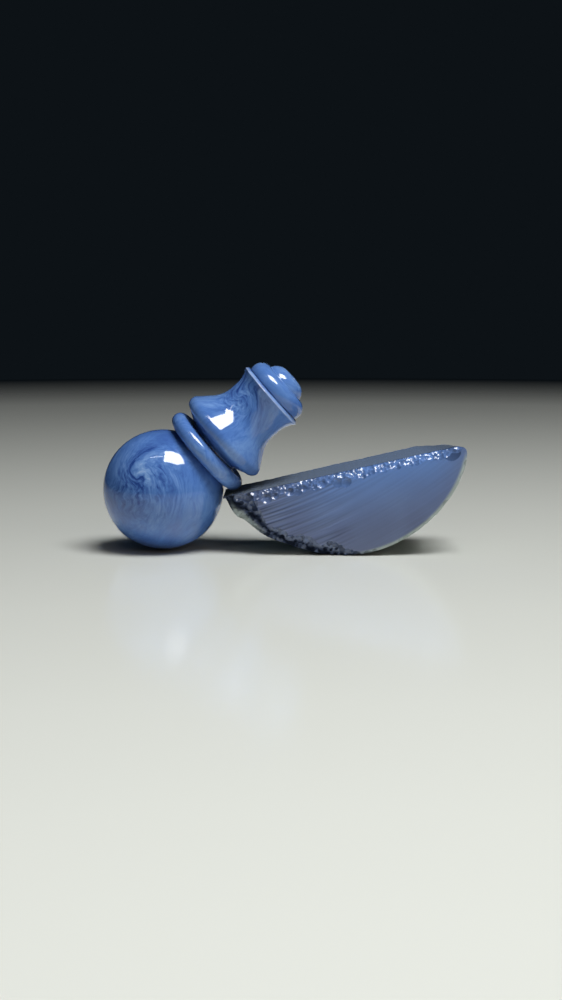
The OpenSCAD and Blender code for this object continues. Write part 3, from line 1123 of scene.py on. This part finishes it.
def close_sides(bm, layers, t, sawn):
    """Joins the two sawn faces by the top and the curved edge, and stores what the finish needs there."""
    rims = [e for e in bm.edges if e.is_boundary]
    joined = bmesh.ops.bridge_loops(bm, edges=rims)
    across = [e for e in joined["edges"] if len(sawn.intersection(e.verts)) == 2]
    across = [e for e in across if abs(e.verts[0].co.y - e.verts[1].co.y) > ACROSS_LEAST]
    bmesh.ops.subdivide_edges(bm, edges=across, cuts=SIDE_CUTS, use_grid_fill=True)
    bmesh.ops.recalc_face_normals(bm, faces=bm.faces[:])
    # The vertices that the cuts added come after those of the two faces
    bm.verts.ensure_lookup_table()
    sides = bm.verts[len(sawn):]
    x = np.array([vertex.co.x for vertex in sides])
    z = np.array([vertex.co.z for vertex in sides])
    cast = fade(skin_depth(t, x, z), CAST_STARTS) * (top_height(t, x) - z > TOP_STRIP)
    rind = TOP_RIND + (CAST_RIND - TOP_RIND) * cast
    glow = SIDE_GLOW * glow_share(t, x, z)
    store_marks(sides, layers, (SIDE_CHIP * (1 - cast), rind, SIDE_TONE * (1 - cast), glow))


# A softbox on the right, a thin strip on the left and a weak warm light from the front: middle, width and
# depth in metres, and power, which is the strength of the softbox's glow and in watts for the other two
SOFTBOX = (Vector((0.1705, -0.15125, 0.5005)), 0.33, 0.24, 17)
STRIP = (Vector((-0.10065, -0.16885, 0.5137)), 0.2, 0.008, 0.1)
FILL = (Vector((0.45, -0.8, 0.4)), 0.8, 0.5, 1.1)

# The softbox's folded corner, as shares of its width and depth
FOLD = 0.31
FOLD_TIP = -0.11

# The table's radius in metres
TABLE_R = 0.63

# The camera's place and the nearest that it sees in metres, its dip, and its lens in millimetres
CAMERA_AT = (-0.00007, -0.23888, 0.03933)
CAMERA_NEAR = 0.01
CAMERA_DOWN = math.radians(7.417)
CAMERA_LENS = 52


class BEADSET_OT_stage(bpy.types.Operator):
    """Set up the table, the light and the camera"""

    bl_idname = "bead_set.stage"
    bl_label = "Stage"

    def execute(self, context):
        scene = context.scene
        colours = scene.bead_set_colours
        lay_table(colours)
        world = bpy.data.worlds.new("Dark Studio")
        world.use_nodes = True
        world.node_tree.nodes["Background"].inputs["Color"].default_value = opaque(colours.dark)
        scene.world = world
        hang_softbox()
        hang_light("strip", *STRIP)
        fill = hang_light("fill", *FILL)
        fill.visible_glossy = False
        fill.data.color = colours.warm
        camera = put("camera", bpy.data.cameras.new("camera"))
        camera.data.lens = CAMERA_LENS
        camera.data.clip_start = CAMERA_NEAR
        camera.location = CAMERA_AT
        camera.rotation_euler = (math.radians(90) - CAMERA_DOWN, 0, 0)
        scene.camera = camera
        scene.view_settings.view_transform = "Standard"
        return {"FINISHED"}


def lay_table(colours):
    """Lays the round table under the set."""
    bm = bmesh.new()
    bmesh.ops.create_circle(bm, cap_ends=True, radius=TABLE_R, segments=128)
    table = put_mesh(bm, "table", table_top("Lacquered Table", colours, TABLE_R))


def aim_down(middle):
    """A light's place, turned towards the set, with the light's width along the frame's X."""
    back = middle.normalized()
    side = (Vector((1, 0, 0)) - back * back.x).normalized()
    turn = Matrix((side, back.cross(side), back)).transposed()
    return Matrix.Translation(middle) @ turn.to_4x4()


def hang_softbox():
    """Hangs a softbox with one corner folded in, so that it has five sides."""
    middle, width, depth, glow = SOFTBOX
    cloth, _ = new_material("Softbox Cloth")
    coat(cloth, {"Strength": glow}, "ShaderNodeEmission")
    bm = bmesh.new()
    bmesh.ops.create_grid(bm, x_segments=1, y_segments=1, size=0.5)
    corner = max(bm.verts, key=lambda vertex: vertex.co.x + vertex.co.y)
    bmesh.ops.bevel(
        bm, geom=[corner], offset=FOLD, offset_type="OFFSET", affect="VERTICES", segments=1, profile=0.5,
        material=-1,
    )
    right = [vertex for vertex in bm.verts if vertex.co.x > 0.5 - FOLD / 2]
    low, tip = sorted(right, key=lambda vertex: vertex.co.y)
    low.co.x = 0.5 - FOLD
    tip.co.y = FOLD_TIP
    shape = aim_down(middle) @ Matrix.Diagonal((width, depth, 1, 1))
    bmesh.ops.transform(bm, matrix=shape, verts=bm.verts[:])
    light = put_mesh(bm, "softbox", cloth)


def hang_light(name, middle, width, depth, watts):
    """Hangs a flat light that looks at the set."""
    lamp = bpy.data.lights.new(name, "AREA")
    lamp.shape = "RECTANGLE"
    lamp.size = width
    lamp.size_y = depth
    lamp.energy = watts
    hung = put(name, lamp)
    hung.matrix_world = aim_down(middle)
    return hung


class BEADSET_PT_panel(bpy.types.Panel):
    """Panel that lists the pieces"""

    bl_idname = "BEADSET_PT_panel"
    bl_label = "Bead Set"
    bl_space_type = "VIEW_3D"
    bl_region_type = "UI"
    bl_category = "Bead Set"

    def draw(self, context):
        layout = self.layout
        for operator in OPERATORS:
            layout.operator(operator.bl_idname)
        for name, group in GROUPS.items():
            for key in group.__annotations__:
                layout.prop(getattr(context.scene, name), key)


OPERATORS = (
    BEADSET_OT_bead, BEADSET_OT_collar, BEADSET_OT_finial, BEADSET_OT_cap,
    BEADSET_OT_core_tube, BEADSET_OT_offcut, BEADSET_OT_stage,
)
GROUPS = {
    "bead_set_turning": BeadSetTurning,
    "bead_set_offcut": BeadSetOffcut,
    "bead_set_colours": BeadSetColours,
}


def register():
    """Registers the classes and hangs the settings on the scene."""
    for cls in (*GROUPS.values(), *OPERATORS, BEADSET_PT_panel):
        bpy.utils.register_class(cls)
    for key, group in GROUPS.items():
        setattr(bpy.types.Scene, key, PointerProperty(type=group))


def unregister():
    """Takes the settings and the classes away again."""
    for key in GROUPS:
        delattr(bpy.types.Scene, key)
    for cls in reversed((*GROUPS.values(), *OPERATORS, BEADSET_PT_panel)):
        bpy.utils.unregister_class(cls)


def main():
    register()
    bpy.ops.bead_set.stage()
    bpy.ops.bead_set.bead()
    bpy.ops.bead_set.collar()
    bpy.ops.bead_set.finial()
    bpy.ops.bead_set.cap()
    bpy.ops.bead_set.core_tube()
    bpy.ops.bead_set.offcut()


if __name__ == "__main__":
    main()
